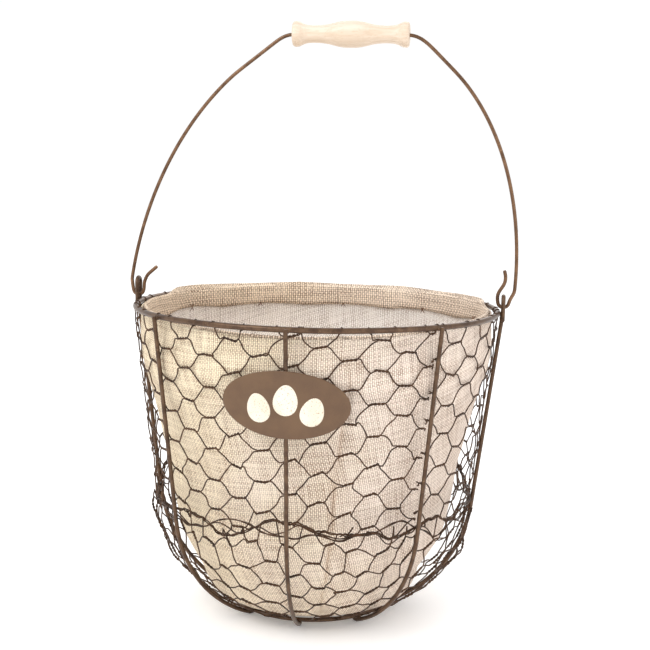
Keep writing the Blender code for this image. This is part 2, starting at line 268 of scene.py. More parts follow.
def burlapLook(name, tones):
    look, shader, coords = newLook(name, Roughness=0.92, Specular_IOR_Level=0.2)
    spot = Sum(look.node_tree, coords.outputs["UV"])
    spread = spot.node("ShaderNodeSeparateXYZ", {}, {0: spot})
    across, along = spread, Sum(spread.tree, spread.socket.node.outputs[1])
    drift = spot.speckle(55.0, 2.0) - 0.5
    jitter = spot.speckle(420.0, 1.0) - 0.5
    warpAt = across / tones["pitch"] + drift * 1.6 + jitter * 0.22
    bow = spot.speckle(48.0, 2.0, stretch=(1.3, 0.8, 1)) - 0.5
    weftAt = along / tones["pitch"] + bow * 1.6 - jitter * 0.22
    warpWave, weftWave = (warpAt * pi).maths("SINE"), (weftAt * pi).maths("SINE")
    warp, weft = warpWave.maths("ABSOLUTE"), weftWave.maths("ABSOLUTE")
    fat = spot.speckle(260.0, 2.0, stretch=(0.15, 1, 1)) * 0.35     # slubs along the threads
    over = warpWave * weftWave                      # over and under, by turns
    warpTop = (warp + fat).maths("POWER", 0.7) * (1 - tones["weave"] + over * tones["weave"])
    weftTop = (weft + fat).maths("POWER", 0.7) * (1 - tones["weave"] - over * tones["weave"])
    height = warpTop.maths("MAXIMUM", weftTop)
    holes = 1 - warp.maths("MAXIMUM", weft).step(tones["hole"] - 0.06, tones["hole"] + 0.12)
    fibre = spot.speckle(1500.0, 3.0, 0.7)
    crossed = (weftTop - warpTop).step(-0.25, 0.25) * -0.34    # painted shade: where the cross thread lies on top the cloth is darker, as if that thread were turned from the light
    uneven = spot.speckle(520.0, 2.0, stretch=(0.05, 1, 1))
    uneven = uneven + spot.speckle(520.0, 2.0, stretch=(1, 0.05, 1)) - 1
    cloud = (spot.speckle(24.0, 3.0) - 0.5) * 0.4
    # painted shade: the low parts between the threads take the shade colour; fibres, cloud and uneven threads
    # are the cloth's own tone
    weaveShadeAndTone = (height * 0.95 + crossed + fibre * 0.30 + cloud + uneven * 0.75).step(0.0, 0.92)
    # painted light: the cloth on the left, towards the key lamp, takes the second, yellower thread colour,
    # broken up by random blotches
    place = Sum(look.node_tree, coords.outputs["Object"])
    leftLightAndBlotch = place.node("ShaderNodeSeparateXYZ", {}, {0: place}) * -6.0 + (place.speckle(9.0, 2.0) - 0.5) * 1.4
    light = leftLightAndBlotch.step(-0.5, 0.6).blend(tones["thread"], tones["warm"])
    feed(shader, "Base Color", weaveShadeAndTone.blend(tones["shade"], light))
    feed(shader, "Alpha", 1 - holes * 0.9)
    feed(shader, "Normal", bumpy(height + fibre * 0.25, tones["pitch"] * 0.35, 0.8))
    return look


def woodLook(name):
    look, shader, coords = newLook(name, Roughness=0.5)
    spot = Sum(look.node_tree, coords.outputs["Object"])
    grain = spot.speckle(420.0, 5.0, 0.6, stretch=(0.05, 1, 1))
    rings = spot.speckle(70.0, 2.0, stretch=(0.2, 1, 1))
    pores = spot.speckle(2400.0, 1.0, stretch=(0.06, 1, 1)).step(0.62, 0.72)
    tone = (grain * 0.55 + rings * 0.45).step(0.35, 0.68)
    pale = tone.blend(rgb(210, 188, 164), rgb(229, 212, 194))
    feed(shader, "Base Color", (pores * 0.5).blend(pale, rgb(198, 164, 126)))
    feed(shader, "Roughness", grain * 0.2 + 0.42)
    feed(shader, "Normal", bumpy(grain + pores * -0.6, 0.0002, 0.5))
    return look


def paintLook(name, colour, fleck, dots=None):
    look, shader, coords = newLook(name, Metallic=0.15, Coat_Weight=0.12, Coat_Roughness=0.35)
    spot = Sum(look.node_tree, coords.outputs["Object"])
    cloud = spot.speckle(60.0, 4.0)
    orange = spot.speckle(1400.0, 2.0)              # orange peel of sprayed paint
    paint = (cloud * 0.8 + orange * 0.2).step(0.3, 0.7).blend(colour, fleck)
    if dots:                                        # an egg's speckles
        paint = (spot.speckle(1100.0, 1.0).step(0.62, 0.70) * 0.7).blend(paint, dots)
    feed(shader, "Base Color", paint)
    feed(shader, "Roughness", cloud * 0.2 + 0.38)
    feed(shader, "Normal", bumpy(orange, 0.00015, 0.35))
    return look


bronzeLook = metalLook("bronzeWire", metalTones["bronze"])
nettingLook = metalLook("nettingWire", metalTones["netting"])
bailLook = metalLook("bailWire", metalTones["bail"])
wallLook = burlapLook("burlap", clothTones["wall"])
litInsideLook = burlapLook("litBurlapInside", clothTones["inside"])
hemLook = burlapLook("burlapBand", clothTones["hem"])
gripLook = woodLook("paleWood")
plaqueLook = paintLook("brownPaint", rgb(90, 64, 42), rgb(106, 78, 52))
creamLook = paintLook("creamPaint", rgb(226, 214, 192), rgb(240, 230, 212), rgb(168, 132, 96))
threadLook = paintLook("stitchThread", rgb(96, 66, 44), rgb(120, 86, 60))
print("looks ready")


# ---- wire frame ----
def spunRing(radius, height, wire, steps):          # a hoop, spun from a circle
    shape = bmesh.new()
    place = Matrix.Translation((radius, 0, height)) @ Matrix.Rotation(pi / 2, 4, "X")
    made = bmesh.ops.create_circle(shape, segments=16, radius=wire / 2, matrix=place)
    geometry = made["verts"] + list({e for v in made["verts"] for e in v.link_edges})
    bmesh.ops.spin(shape, geom=geometry, cent=(0, 0, 0), axis=(0, 0, 1), angle=2 * pi, steps=steps,
                   use_merge=True)
    bmesh.ops.remove_doubles(shape, verts=shape.verts, dist=1e-6)
    bmesh.ops.recalc_face_normals(shape, faces=shape.faces)
    return shape


def buildFrame():
    rim = spunRing(rimRadius, rimHeight, rimWire, 180)
    for vert in rim.verts:                          # a hoop bent by hand is never quite level
        angle = atan2(vert.co.x, -vert.co.y)
        vert.co.z += 0.00025 * wander(1, cos(angle) * 2, sin(angle) * 2)
    addPiece("rimHoop", rim, bronzeLook, "basket", "bronze_wire", "rim_ring")
    low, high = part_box("base_ring")
    base = spunRing(high.x - (high.z - low.z) / 2, (low.z + high.z) / 2, high.z - low.z, 96)
    addPiece("baseHoop", base, bronzeLook, "basket", "bronze_wire", "base_ring")

    names = ["rib_front", "rib_front_right", "rib_right", "rib_back_right",
             "rib_back", "rib_back_left", "rib_left", "rib_front_left"]
    for i, name in enumerate(names):
        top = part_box(name)[1].z - 0.0003
        wallEnd = bendZ - cage["bend"] * sin(cage["lean"])
        profile = [(cageRadius(top - 0.0012), top), (cageRadius(top - 0.0012), top - 0.0012)]
        profile += [(cageRadius(z), z) for z in (top - 0.02, (top + wallEnd) / 2, wallEnd + 0.01)]
        first = asin((cage["toeDrop"] - bendZ) / cage["bend"])
        bends = 16
        for k in range(bends + 1):
            angle = -cage["lean"] + (first + cage["lean"]) * k / bends
            profile.append((bendR + cage["bend"] * cos(angle), bendZ + cage["bend"] * sin(angle)))
        profile += [(toeInner + 0.0008, cage["toeDrop"]), (toeInner, cage["toeDrop"] + 0.0002)]
        line = [around(45 * i, r, z + 0.00012) for r, z in profile]
        title = "rib" + "".join(word.capitalize() for word in name.split("_")[1:])
        addWires(title, [line], ribWire, bronzeLook, "basket", "bronze_wire", name, roundness=4)
    print("frame ready")


def weldBead(shape, spot, size, squeeze):           # a small lump of weld
    place = Matrix.Translation(spot) @ Matrix.Diagonal((*squeeze, 1))
    made = bmesh.ops.create_icosphere(shape, subdivisions=2, radius=size, matrix=place)
    for vert in made["verts"]:
        vert.co += (vert.co - spot) * 0.22 * wander(3, *(vert.co * 700))


welds = {"rim": 0.00115, "ear": 0.0012, "base": 0.0017}     # radii of the beads


def buildWelds():
    shape = bmesh.new()
    baseLow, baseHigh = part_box("base_ring")
    baseRadius = baseHigh.x - 0.0016
    for i in range(8):
        tilt = around(45 * i, 1, 0)
        flat = (1.25 - 0.35 * abs(tilt.x), 1.25 - 0.35 * abs(tilt.y), 0.8)
        for turn in (-0.55, 0.55):                  # either side of the rib, against the rim
            spot = around(45 * i + turn, rimRadius + rimWire / 2 + 0.0001, rimHeight - 0.0006)
            weldBead(shape, spot, welds["rim"], (1, 1, 1.3))
        weldBead(shape, around(45 * i, baseRadius + 0.0008, baseLow.z + 0.0001), welds["base"], flat)
    for side in (-1, 1):                            # the ears' feet
        for turn in (-1.45, 1.45):
            spot = around(90 * side + turn, rimRadius + rimWire / 2 + 0.0006, rimHeight - 0.0042)
            weldBead(shape, spot, welds["ear"], (0.9, 1, 1.6))
    addPiece("weldBeads", shape, bronzeLook, "basket", "bronze_wire")


ears = {"ear_left": {"side": -1, "rise": 0.0179}, "ear_right": {"side": 1, "rise": 0.0129},
        "wire": 0.0032, "eye": 0.0088, "tail": 0.0065}


def buildEars():
    for name in ("ear_left", "ear_right"):
        side, rise = ears[name]["side"], ears[name]["rise"]
        leg = ribWire / 2 + gap + ears["wire"] / 2 + 0.0002
        half = ears["eye"] / 2
        shoulder = rise - half
        up = [(leg, -ears["tail"]), (leg, -0.002), (leg, 0.003), (half - 0.0003, 0.0066), (half, shoulder)]
        arch = [(half * cos(pi * i / 10), shoulder + half * sin(pi * i / 10)) for i in range(1, 10)]
        down = [(-y, z) for y, z in reversed(up)]
        loop = [Vector((side * outside, y, rimHeight + z)) for y, z in up + arch + down]
        title = "ear" + name.split("_")[1].capitalize()
        addWires(title, [smooth(loop, 3)], ears["wire"], bronzeLook, "basket", "bronze_wire", name,
                 roundness=4)
    print("ears ready")


# ---- bail and grip ----
bail = {"wire": 0.0028, "halfWidth": 0.151, "curveRise": 0.211, "leg": 0.0045, "sway": 0.0218,
        "gripLength": 0.089}


def bailLine():
    rise = joints["grip_spin"].z - joints["bail_swing"].z
    leg = bail["leg"]
    low = leg * 0.55
    turn = [(-leg, 0.0052), (-leg * 0.88, 0.0022), (-low, 0.0004), (0, 0),
            (low, 0.0004), (leg * 0.88, 0.0022), (leg, 0.0052)]
    hooked = [(-0.0152, 0.0228), (-0.0105, 0.0188), (-0.0072, 0.0158), (-0.0056, 0.0125), (-leg, 0.0090)]
    curled = [(-0.0002, 0.0285), (0.0009, 0.0245), (0.0010, 0.0212), (0.0002, 0.0180), (-0.0016, 0.0150),
              (-0.0036, 0.0120), (-0.0047, 0.0090)]

    def arch(side):
        rows, first, last = 48, 0.0120, rise - 0.0300
        path = []
        for i in range(rows):
            up = first + (last - first) * sin(pi / 2 * i / (rows - 1))
            wide = bail["halfWidth"] * sqrt(1 - (up / bail["curveRise"]) ** 2)
            path.append((side * wide + bail["sway"] * up / rise, 0, up))
        end = bail["gripLength"] / 2 + 0.0010
        shoulder = ((0.0140, -0.0074), (0.0078, -0.0024), (0.0028, -0.0003), (-0.0020, 0))
        return path + [(bail["sway"] + side * (end + x), 0, rise + z) for x, z in shoulder]

    left = [(-outside - x, 0, z) for x, z in hooked + turn]
    right = [(outside + x, 0, z) for x, z in curled + turn]
    spots = left + arch(-1) + arch(1)[::-1] + right[::-1]
    return [Vector(spot) + Vector((0, 0, joints["bail_swing"].z)) for spot in spots]


def buildBail():
    line = even(bailLine(), 0.0010, 3, 40, rimHeight + 0.04)
    addWires("bailWire", [line], bail["wire"], bailLook, "bail", "bail_wire", "bail", roundness=4)
    print("bail ready")


def buildGrip():
    half = bail["gripLength"] / 2
    centre = joints["grip_spin"]
    outline = [(0, 0.01000), (0.10, 0.00992), (0.20, 0.00935), (0.29, 0.00845), (0.37, 0.00755),
               (0.46, 0.00690), (0.56, 0.00656), (0.66, 0.00656), (0.76, 0.00700), (0.84, 0.00835),
               (0.885, 0.00925), (0.92, 0.00958), (0.955, 0.00955),
               (0.982, 0.00905), (0.996, 0.0080), (1.0, 0.0066)]
    right = [Vector((half * share, 0, radius)) for share, radius in outline]
    bore = [Vector((half, 0, 0.0028)), Vector((half - 0.0008, 0, 0.0020))]
    line = smooth(right, 3) + bore
    line += [Vector((-spot.x, 0, spot.z)) for spot in reversed(line[1:])]
    shape = bmesh.new()
    verts = [shape.verts.new(spot) for spot in line]
    edges = [shape.edges.new(pair) for pair in zip(verts, verts[1:] + verts[:1])]
    bmesh.ops.spin(shape, geom=verts + edges, cent=(0, 0, 0), axis=(1, 0, 0), angle=2 * pi, steps=56,
                   use_merge=True)
    bmesh.ops.remove_doubles(shape, verts=shape.verts, dist=1e-6)
    bmesh.ops.recalc_face_normals(shape, faces=shape.faces)
    bmesh.ops.translate(shape, verts=shape.verts, vec=centre)
    addPiece("turnedGrip", shape, gripLook, "grip", "pale_wood", "grip", sharp=60)
    print("grip ready")


# ---- netting ----
net = {"strand": 0.00104, "pitches": 21, "pitch": 0.0395, "seam": 43.0, "row": 0.0112, "twist": 0.0040,
       "turns": 1.5, "coil": 0.00054, "firstRow": 0.0040, "rows": 15, "shift": 0.6,
       "wobble": 0.0024, "ripple": 0.0016,
       "stray": 0.00484, "lift": 0.00242, "lean": 0.55}
dish = {"pitch": 0.0395, "row": 0.0112, "reach": 0.175}
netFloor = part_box("bottom_netting")[0].z + 0.0007


def bandHeight(angle, edge):                        # where a selvage of either netting runs along the lacing
    turn = radians(angle)
    middle = 0.0925 + 0.0026 * sin(3 * turn + 1.9) + 0.0020 * sin(8 * turn + 2.2)
    middle += 0.0020 * wander(46, 9 * sin(turn), 9 * cos(turn))
    apart = 0.0042 * sin(7 * turn + 0.9) + 0.0030 * sin(12 * turn + 2.6)
    apart += 0.0030 * wander(47, 8 * sin(turn), 8 * cos(turn))
    return middle + (apart if edge == 0 else -apart - 0.0012)


def sheetRise(angle):                               # the sleeve's rows climb towards its seam
    return 2 * 0.0095 / (1 + 2.718 ** (-(angle - 5) / 11))


def strandPoints(row, columns, pitch, rowStep, twist, seed):    # one wire: (along, across, lift)
    points = []
    for column in range(2 * columns + 1):
        down = (column + row) % 2                   # by turns in the row above and the row below
        if points:                                  # the free wire between two twists bows a little
            rise = (1 if down else -1) * rowStep
            for share, bow in ((0.22, 0.09), (0.5, 0.5), (0.78, 0.91)):
                free = pitch / 2 - 2 * twist
                points.append(((column - 0.5) * pitch / 2 + (share - 0.5) * free * 1.1
                               + net["wobble"] * wander(seed + 2, column * 1.1, row * 1.9, share * 2),
                               (row + 1 - down) * rowStep + rise * bow
                               + net["wobble"] * wander(seed + 3, column * 1.3, row * 1.7, share * 2),
                               net["ripple"] * wander(seed + 4, column * 1.7, row * 1.3, share * 2)))
        along = column * pitch / 2 + net["stray"] * wander(seed, column * 0.9, (row + down) * 0.8)
        across = (row + down) * rowStep + net["lift"] * wander(seed + 5, column * 0.9, (row + down) * 1.3)
        lean = net["lean"] * wander(seed + 9, column * 1.3, (row + down) * 1.1)
        start = 0 if down else pi
        steps = 6
        for k in range(steps + 1):
            share = k / steps - 0.5
            spin = start + 2 * pi * net["turns"] * (share + 0.5)
            points.append((along + 2 * twist * share,
                           across - net["coil"] * cos(spin) + 2 * twist * share * lean,
                           net["coil"] * sin(spin)))
    return points


def rimWrap(angle, away):                           # a strand's end, turned round the rim wire
    reach = rimWire / 2 + net["strand"] * 0.22
    line = []
    for k in range(11):
        turn = radians(-70 - 235 * k / 10)
        here = angle + away * 0.09 * k
        line.append(around(here, rimRadius + reach * cos(turn), rimHeight + reach * sin(turn)))
    return line


def bandWrap(angle, away, seed):                    # a strand's end, wound along the lacing
    line = []
    count = 12
    for k in range(count):
        here = angle + away * 0.55 * k
        turn = 0.9 * k + seed
        reach = 0.0011
        height = bandHeight(here, 0) + reach * sin(turn)
        line.append(around(here, cageRadius(height, netInset) + reach * cos(turn), height))
    return line


def clipped(points, inside):                        # stretches of a line that pass a test
    runs, run = [], []
    for point in points:
        if inside(point):
            run.append(point)
        elif run:
            runs.append(run)
            run = []
    return [r for r in runs + [run] if len(r) > 3]


def buildSideNetting():
    start = net["seam"] - 360
    pitchAngle = 360 / net["pitches"]
    lines = []
    for row in range(net["rows"]):
        spots = []
        strand = strandPoints(row, net["pitches"], net["pitch"], net["row"], net["twist"], 11)
        for along, across, lift in strand:
            angle = start + along / net["pitch"] * pitchAngle + net["shift"]
            depth = net["firstRow"] + across - net["row"] * 2 + (0.019 - sheetRise(angle))
            sway = 0.0008 * wander(21, along * 20, across * 60)
            spots.append((angle, rimHeight - depth, lift + sway))
        ceiling = rimHeight - rimWire / 2 - 0.0010

        def inside(spot):
            return bandHeight(spot[0], 0) + 0.0005 < spot[1] < ceiling

        for run in clipped(spots, inside):
            run = [spot for spot in run if start + 0.9 < spot[0] < net["seam"] + 0.6]
            line = [around(a, cageRadius(z, netInset) + lift, z) for a, z, lift in run]
            line = smooth(line, 2)
            for end, away in ((0, -1), (-1, 1)):
                angle, height = run[end][0], run[end][1]
                extra = []
                if ceiling - height < 0.0065:
                    extra = rimWrap(angle + away * 0.5, away)
                elif height - bandHeight(angle, 0) < 0.0070:
                    extra = bandWrap(angle + away * 0.8, away, row)
                elif abs(angle - (start if end == 0 else net["seam"])) < 4:
                    curl, lift = 0.5 + 1.6 * abs(wander(71, row * 1.7, end)), 2.4 * wander(72, row * 1.3, end)
                    extra = [around(angle + away * (0.25 + 0.16 * k) * curl, cageRadius(height, netInset)
                                    + 0.0009 * sin(1.3 * k), height - 0.0009 * (1 - cos(1.3 * k)) * lift)
                             for k in range(1, 4)]
                if end == 0:
                    line = extra[::-1] + line
                else:
                    line = line + extra
            lines.append(line)
    addWires("sideNetting", lines, net["strand"], nettingLook, "basket", "netting_wire", "side_netting",
             roundness=1)
    print("side netting ready")


def dishPoint(reach, lift):                         # radius and height, from the distance along the netting
    radius = cage["bend"] - netInset
    edge = bendR + sqrt(radius ** 2 - (bendZ - netFloor) ** 2)
    if reach < edge:
        return reach, netFloor + lift
    first = asin((netFloor - bendZ) / radius)
    angle = first + (reach - edge) / radius
    top = -cage["lean"]
    rest = max(angle - top, 0) * radius
    angle = min(angle, top)
    radius -= lift
    return (bendR + radius * cos(angle) + rest * sin(cage["lean"]),
            bendZ + radius * sin(angle) + rest * cos(cage["lean"]))


def buildBottomNetting():
    columns = int(2 * dish["reach"] / dish["pitch"]) + 1
    rows = int(2 * dish["reach"] / dish["row"])
    lines = []
    for row in range(-1, rows):
        spots = []
        for along, across, lift in strandPoints(row, columns, dish["pitch"], dish["row"], net["twist"], 31):
            u = along - columns * dish["pitch"] / 2 + 0.004
            v = across - rows * dish["row"] / 2
            reach = hypot(u, v)
            angle = degrees(atan2(u, -v))
            crush = max(reach - 0.085, 0) / 0.085   # the gathered edge is crumpled
            angle += 4.0 * crush * wander(41, u * 28, v * 28)
            reach += 0.006 * crush * wander(42, u * 30, v * 30)
            radius, height = dishPoint(reach, lift + 0.0016 * crush * wander(43, u * 45, v * 45))
            between = 0.5 - 0.5 * cos(radians(angle * 8))
            bulge = between * min(crush * 1.5, 1)       # it bulges between the ribs, in loops
            loops = 0.0060 * max(cos(radians(angle - 64)), 0) ** 6
            radius += bulge * (0.0030 + loops + 0.0050 * wander(48, u * 40, v * 40))
            height -= bulge * 0.0040 * max(wander(49, u * 40, v * 40), 0)
            spots.append((angle, radius, max(height, 0.0012)))

        def inside(spot):
            return spot[2] < bandHeight(spot[0], 1) - 0.0005

        for run in clipped(spots, inside):
            line = smooth([around(*spot) for spot in run], 2)
            for end, away in ((0, -1), (-1, 1)):
                angle, radius, height = run[end]
                if bandHeight(angle, 1) - height > 0.012:
                    continue
                nearby = run[3] if end == 0 else run[-4]
                away = 1 if (angle - nearby[0]) % 360 < 180 else -1
                extra = bandWrap(angle + away * 1.2, away, row)
                line = extra[::-1] + line if end == 0 else line + extra
            lines.append(line)
    addWires("bottomNetting", lines, net["strand"], nettingLook, "basket", "netting_wire", "bottom_netting",
             roundness=1)
    print("bottom netting ready")


lacing = {"samples": 520, "crossings": 13, "wire": 0.00095, "stubs": 16, "stubWire": 0.0009,
          "stubCoil": 0.00045,
          "selvages": ((0, 0, 0.0007, 31), (0, pi, 0.0007, 31), (1, 0.5, 0.0006, 27), (1, 3.6, 0.0006, 27))}


def buildLacing():
    strands = []
    count = lacing["samples"]
    for edge, phase, coil, turns in lacing["selvages"]:     # turns round the basket, and the coil's radius
        line = []
        for k in range(count):
            angle = 360 * k / count
            spread = 1 + 1.3 * wander(45, 6 * cos(radians(angle)), 6 * sin(radians(angle)), phase)
            turn = 2 * pi * turns * k / count + phase + 2.5 * spread
            height = bandHeight(angle, edge) + coil * spread * sin(turn)
            line.append(around(angle, cageRadius(height, netInset) + coil * cos(turn), height))
        strands.append(line)
    line = []
    for k in range(count):                          # the wire that laces the two edges together
        angle = 360 * k / count
        turn = 2 * pi * lacing["crossings"] * k / count
        share = 0.5 + (0.6 + 0.5 * wander(44, angle * 0.06)) * sin(turn + 1.6 * sin(2 * pi * 5 * k / count))
        height = bandHeight(angle, 0) * share + bandHeight(angle, 1) * (1 - share)
        line.append(around(angle, cageRadius(height, netInset) + 0.0016 * cos(turn), height))
    strands.append(line)
    addWires("lacingWires", strands, lacing["wire"], nettingLook, "basket", "netting_wire", "netting_lacing",
             closed=True, roundness=1)
    print("lacing ready")


def buildNettingEnds():                             # twisted cut ends along the lacing
    stubs = []
    for i in range(lacing["stubs"]):
        angle = 22.9 * i + 7 * wander(51, i * 2.3)
        base = bandHeight(angle, 0)
        aim = radians(35 + 110 * abs(wander(53, i * 1.7)))
        long = 0.0055 + 0.003 * wander(54, i * 3.1)
        for phase in (0, pi):
            line = []
            for k in range(9):
                far = long * k / 8
                turn = phase + 1.3 * k
                height = base + far * sin(aim) * (1 if i % 2 else -0.8) + lacing["stubCoil"] * sin(turn)
                here = angle + degrees(far * cos(aim) / 0.125)
                radius = cageRadius(height, netInset) + 0.0004 + lacing["stubCoil"] * cos(turn) - 0.10 * far
                line.append(around(here, radius, height))
            stubs.append(line)
    addWires("nettingEnds", stubs, lacing["stubWire"], nettingLook, "basket", "netting_wire", roundness=1)
    print("netting ends ready")


# ---- plaque ----
plaque = {"sheet": 0.0008, "bend": 0.190, "tilt": -2.3, "width": 0.088, "height": 0.048, "steps": 72}


def plaqueSpot(x, z, stand):                        # a point on the curved plaque, from its own middle
    low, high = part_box("plaque")
    middle = (low.z + high.z) / 2
    turn = radians(plaque["tilt"])
    flat = Vector((x * cos(turn) - z * sin(turn), 0, x * sin(turn) + z * cos(turn)))
    lean = Matrix.Rotation(cage["lean"], 3, "X")
    sag = plaque["bend"] - sqrt(plaque["bend"] ** 2 - x ** 2)
    front = Vector((0, -cageRadius(middle), middle))
    return front + lean @ Vector((flat.x, sag - ribWire / 2 - gap - stand, flat.z))


def plaqueLoop(shape, share, stand):                # an oval on the plaque, at a share of its size
    steps, across, up = plaque["steps"], share * plaque["width"] / 2, share * plaque["height"] / 2
    return [shape.verts.new(plaqueSpot(across * cos(2 * pi * k / steps), up * sin(2 * pi * k / steps), stand))
            for k in range(steps)]


def buildPlaque():
    shape = bmesh.new()
    top = plaque["sheet"]
    rows = [(0.4, 0.0), (0.8, 0.0), (0.985, 0.0), (1.0, top * 0.35), (1.0, top * 0.7)]      # back, then edge
    rows += [(share, top) for share in (0.985, 0.95, 0.8, 0.55, 0.3)]
    edges = skin(shape, [plaqueLoop(shape, share, stand) for share, stand in rows])
    bmesh.ops.contextual_create(shape, geom=edges[0])
    bmesh.ops.contextual_create(shape, geom=edges[-1])
    bmesh.ops.recalc_face_normals(shape, faces=shape.faces)
    addPiece("ovalPlaque", shape, plaqueLook, "basket", "brown_plaque", "plaque", sharp=70)
    print("plaque ready")


eggs = {"halfWidth": 0.0080, "halfHeight": 0.0105, "relief": 0.0013,
        "places": ((-0.0185, -0.0035, 1.0, 14), (0.0, 0.0035, 1.06, -4), (0.0185, -0.0035, 1.0, -16))}


def buildEggs():                                    # places: across, up, size, turn in degrees
    shape = bmesh.new()
    for x, z, size, turn in eggs["places"]:
        made = bmesh.ops.create_uvsphere(shape, u_segments=36, v_segments=18, radius=1.0)
        for vert in made["verts"]:
            across, up, out = vert.co
            across *= 1 - 0.16 * up                 # the narrow end is up
            spread = Vector((across * eggs["halfWidth"] * size, up * eggs["halfHeight"] * size))
            spun = Matrix.Rotation(radians(turn), 2) @ spread
            vert.co = plaqueSpot(x + spun.x, z + spun.y,
                                 plaque["sheet"] - 0.0002 + eggs["relief"] * max(out, -0.15))
    bmesh.ops.recalc_face_normals(shape, faces=shape.faces)
    addPiece("plaqueEggs", shape, creamLook, "basket", "brown_plaque")
    print("eggs ready")


# ---- liner ----
liner = {"cloth": 0.0008, "seam": 19.0, "grain": -40.0, "columns": 320,
         "slack": ((0.22, 0.0006), (0.42, 0.0053), (0.60, 0.0090), (0.80, 0.0111), (1.03, 0.0114),
                   (1.21, 0.0108), (1.31, 0.0087), (1.51, 0.0054), (1.72, 0.0005)),
         "play": 0.0014, "rise": 0.0015, "straight": 0.026, "hem": 0.0185, "hemCut": 0.041, "floor": 0.0612,
         "tip": 0.19, "tacks": 11, "thread": 0.0007}
linerTop = rimHeight + liner["rise"]
linerInset = ribWire / 2 + gap + 0.0014 + gap
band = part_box("liner_hem")[1].x                     # the hem's outer radius


def cagePoint(station, inset):                      # station 0 at the ribs' ends, 1 at the bend's top
    radius = cage["bend"] - inset
    toe = atan2(cage["toeDrop"] - bendZ, toeInner + cage["toeRun"] - bendR)
    angle = toe + (-cage["lean"] - toe) * min(station, 1)
    up = max(station - 1, 0) * (rimHeight - bendZ + cage["bend"] * sin(cage["lean"]))
    return Vector((bendR + radius * cos(angle) + up * tan(cage["lean"]), bendZ + radius * sin(angle) + up, 0))


def tipped(angle, height, low):                     # the mouth rises at the back and drops at the front
    share = min(max((height - low) / (linerTop - low), 0), 1)
    facing = -cos(radians(angle))
    back = min(max((facing - 0.20) / 0.20, 0), 1)
    return height + share * (0.0040 * back * back * (3 - 2 * back) if facing > 0 else -0.007 * facing ** 2)


def lip(angle, height):                             # behind the ears the edge rolls out over the rim wire
    back = min(max((-cos(radians(angle)) - 0.21) / 0.16, 0), 1)
    over = min(max((height - rimHeight - rimWire / 2 - 0.0001) / 0.0016, 0), 1)
    return 0.0046 * back * over * (0.8 + 0.4 * wander(68, cos(radians(angle)) * 3, sin(radians(angle)) * 3))


def linerProfile():                                 # (radius, height) from the floor's middle to the mouth
    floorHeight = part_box("liner_base")[0].z + 0.0002
    mouth = rimRadius - rimWire / 2 - liner["play"]
    rows = [Vector((0.0615, floorHeight, 0))]
    rows += [cagePoint(station, linerInset + slack) for station, slack in liner["slack"]]
    rows += [Vector((mouth, rimHeight - liner["straight"], 0)), Vector((mouth, rimHeight - 0.010, 0)),
             Vector((mouth, linerTop - 0.0012, 0))]
    return smooth(rows, 5)


def drawnIn(angle, height):                         # between tacks the mouth's edge runs straighter
    share = min(max((height - 0.212) / 0.020, 0), 1)
    phase = (angle / 45 + 0.62 + 0.10 * sin(radians(angle * 2))) % 1
    chord = 1 - (2 * phase - 1) ** 2
    share *= 0.3 + 0.7 * abs(cos(radians(angle)))   # it lies close to the rim beside the ears
    uneven = wander(67, cos(radians(angle)) * 4, sin(radians(angle)) * 4)
    return share * (0.0030 * chord + 0.0006 * (1 + uneven))


def foldDepth(angle, height):                       # how far the slack cloth falls in from its outline
    turn = radians(angle)
    spot = (cos(turn) * 2.6, sin(turn) * 2.6, height * 9)
    loose = min(max((0.225 - height) / 0.10, 0), 1)
    broad = 0.5 + 0.5 * wander(61, *spot)
    sharp = max(wander(62, cos(turn) * 5.5, sin(turn) * 5.5, height * 14), 0) ** 1.5
    seam = abs((angle - liner["seam"] + 5 * (0.24 - height) / 0.2 + 180) % 360 - 180)
    low = max(1 - abs(height - 0.034) / 0.030, 0)   # the bag's lower corner hangs clear of the netting
    slump = low * (0.0085 * max(cos(turn - 0.95), 0) ** 2 + 0.0040 * max(cos(turn + 0.95), 0) ** 2)
    pleat = 0.0036 * max(1 - seam / 1.3, 0) - 0.0008 * max(1 - abs(seam - 3) / 2.5, 0)
    return slump + loose * (0.0030 * broad + 0.0060 * sharp) + min(loose * 2 + 0.25, 1) * pleat


def faceOut(shape):                                 # turn a sheet's faces away from the basket's axis
    bmesh.ops.recalc_face_normals(shape, faces=shape.faces)
    first = list(shape.faces)[:50]
    if sum(face.normal.dot(face.calc_center_median() * Vector((1, 1, 0))) for face in first) < 0:
        bmesh.ops.reverse_faces(shape, faces=shape.faces)


def thicken(piece):                                 # give a sheet the cloth's thickness, on its inner side
    thick = piece.modifiers.new("cloth", "SOLIDIFY")
    thick.thickness, thick.offset = liner["cloth"], -1
    return thick


def ringAngle(spot):                                # in degrees from the front, as around() takes it
    return degrees(atan2(spot.x, -spot.y))


